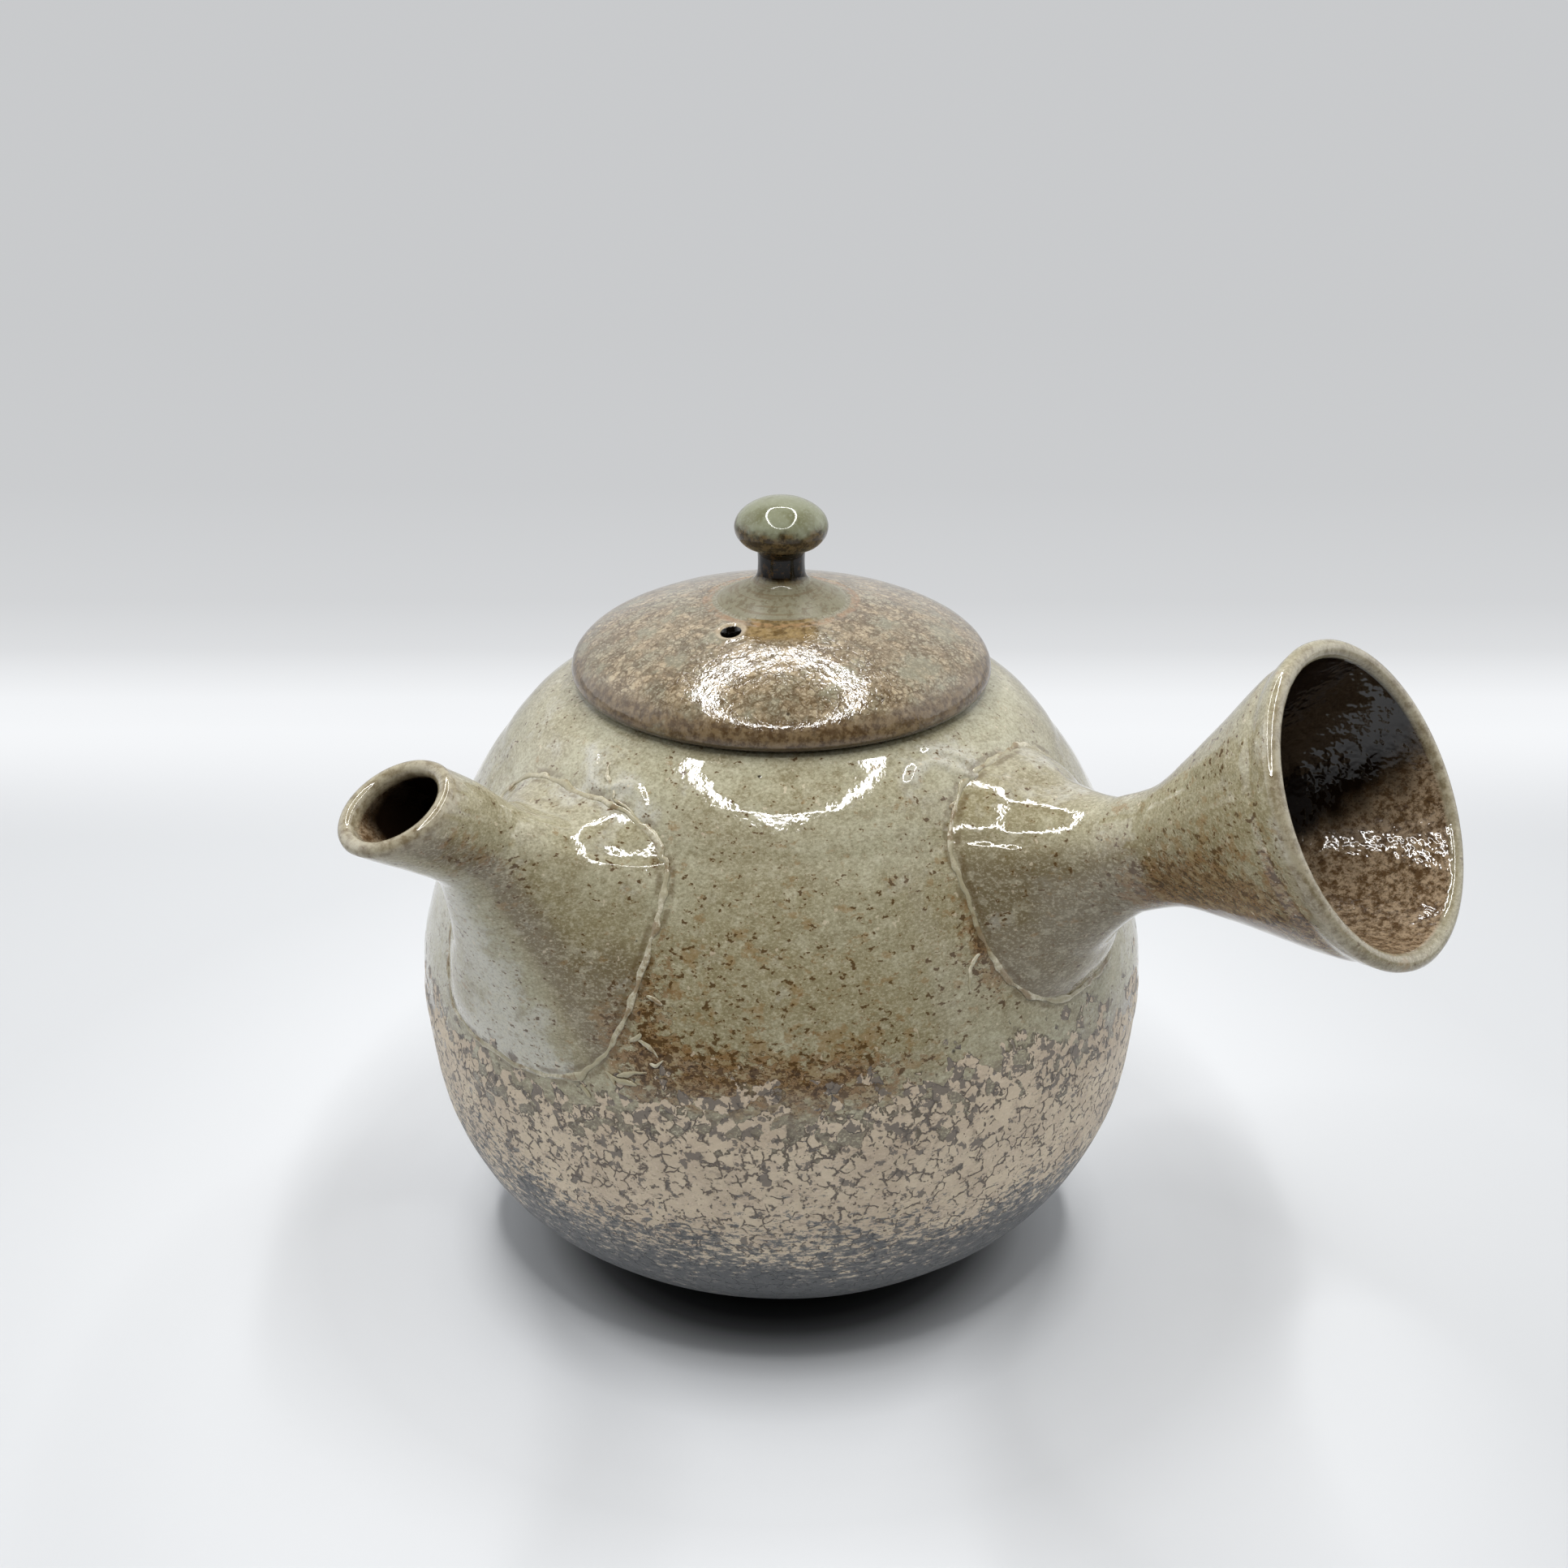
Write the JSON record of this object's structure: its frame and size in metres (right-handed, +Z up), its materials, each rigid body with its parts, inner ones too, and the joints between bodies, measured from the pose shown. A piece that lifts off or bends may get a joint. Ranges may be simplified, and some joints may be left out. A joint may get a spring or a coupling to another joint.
{
  "type": "kyusu teapot",
  "caption": "Side-handled stoneware teapot with a hollow flared handle, short spout, inner strainer and a lift-off knobbed lid.",
  "frame": {"origin": "centre of the flat base on the standing surface", "axes": "+Z up along the pot axis, -X towards the spout, and the handle leaves near -Y, 100.7 degrees from the spout"},
  "size_m": [0.1093, 0.1312, 0.1016],
  "materials": {
    "glaze": "gloss",
    "lid_glaze": "gloss",
    "slip": "satin",
    "bare_clay": "matte"
  },
  "bodies": {
    "pot": {"pot_body": "glaze", "spout": "glaze", "spout_seam": "slip", "strainer": "bare_clay", "handle": "glaze", "handle_seam": "slip"},
    "lid_ring": {"lid_flange": "bare_clay"},
    "lid": {"lid_dome": "lid_glaze", "lid_knob": "lid_glaze"}
  },
  "joints": [
    {"name": "lid_lift", "type": "slide", "parent": "pot", "child": "lid_ring", "axis": [0, 0, 1], "range_m": [0, 0.06]},
    {"name": "lid_turn", "type": "hinge", "parent": "lid_ring", "child": "lid", "pos_m": [0, 0, 0.0793], "axis": [0, 0, 1], "continuous": true}
  ]
}
